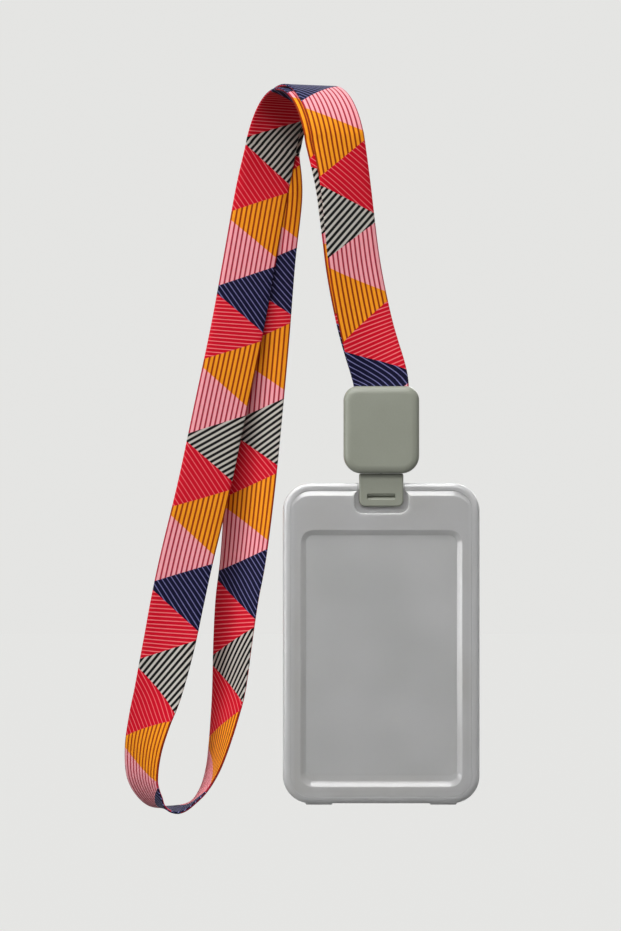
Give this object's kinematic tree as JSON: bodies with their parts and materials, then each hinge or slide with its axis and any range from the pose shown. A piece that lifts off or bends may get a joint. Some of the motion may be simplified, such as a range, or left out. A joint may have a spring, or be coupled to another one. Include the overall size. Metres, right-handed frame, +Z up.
{
  "type": "badge wallet",
  "caption": "Hard hinged card case hanging by a clip from a spring reel on a flat patterned neck strap, looped over a bar.",
  "frame": {"origin": "underside of the strap at the top of its arch, where the bar that it hangs over carries it", "axes": "+Z up, +X to the right and +Y away, seen from the front of the case"},
  "size_m": [0.1321, 0.0564, 0.2713],
  "materials": {
    "printed_webbing": "woven polyester strap, printed",
    "steel": "bright drawn wire",
    "abs": "fine spark texture",
    "acetal": "smooth",
    "cord": "braided cord",
    "brass": "plain",
    "frosted_polypropylene": "milky, satin"
  },
  "bodies": {
    "strap": {"strap": "printed_webbing"},
    "reel": {"strap_pin": "steel", "reel_front_cover": "abs", "reel_rear_cover": "abs", "housing_screws": "steel", "cord_eyelet": "steel", "power_spring": "steel", "pull_cord": "cord"},
    "spool": {"spool_drum": "acetal", "spool_cap": "acetal", "cord_winding": "cord"},
    "clip": {"cord_ferrule": "brass", "clip_body": "abs", "clip_pin": "steel", "case_tray": "frosted_polypropylene", "film_hinges": "frosted_polypropylene"},
    "flap": {"clip_flap": "abs"},
    "cover": {"case_cover": "frosted_polypropylene"}
  },
  "joints": [
    {"name": "strap_swing", "type": "hinge", "parent": "strap", "child": "reel", "pos_m": [0.0284, -0.01966, -0.113], "axis": [1, 0, 0], "range_deg": [-45, 45], "deforming": ["strap"]},
    {"name": "cord_pull", "type": "slide", "parent": "reel", "child": "clip", "axis": [0, 0, -1], "range_m": [0, 0.6], "stiffness_N_per_m": 0.7, "springref_m": -1.2, "deforming": ["pull_cord"]},
    {"name": "spool_turn", "type": "hinge", "parent": "reel", "child": "spool", "pos_m": [0.0284, -0.01966, -0.128], "axis": [0, 1, 0], "range_deg": [0, 3800], "deforming": ["power_spring"]},
    {"name": "flap_swing", "type": "hinge", "parent": "clip", "child": "flap", "pos_m": [0.0284, -0.01666, -0.1431], "axis": [1, 0, 0], "range_deg": [0, 70]},
    {"name": "case_opening", "type": "hinge", "parent": "clip", "child": "cover", "pos_m": [0.0284, -0.01826, -0.2611], "axis": [1, 0, 0], "range_deg": [0, 175], "deforming": ["film_hinges"]}
  ],
  "couplings": [
    {"joint": "spool_turn", "follows": "cord_pull", "rad_per_m": 105.82}
  ]
}
